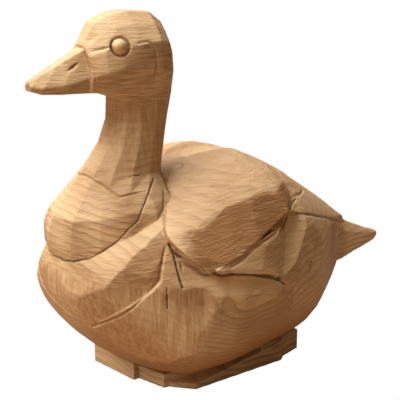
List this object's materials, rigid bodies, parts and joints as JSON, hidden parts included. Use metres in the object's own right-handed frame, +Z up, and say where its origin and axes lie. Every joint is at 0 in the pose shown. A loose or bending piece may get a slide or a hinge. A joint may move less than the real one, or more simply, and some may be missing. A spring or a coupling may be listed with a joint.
{
  "type": "goose figurine",
  "caption": "carved wooden goose sitting on a low stepped foot, with a faceted neck, head and breast, folded wings, grooved feather edges and a short pointed tail",
  "frame": {"origin": "centre of the bounding box in plan, on the plane the goose stands on", "axes": "the beak points along -Y, the goose's left side is +X, up is +Z"},
  "size_m": [0.1512, 0.2856, 0.219],
  "materials": {
    "wood": "bare carved wood, matte"
  },
  "bodies": {
    "root": {"goose": "wood"}
  },
  "joints": []
}
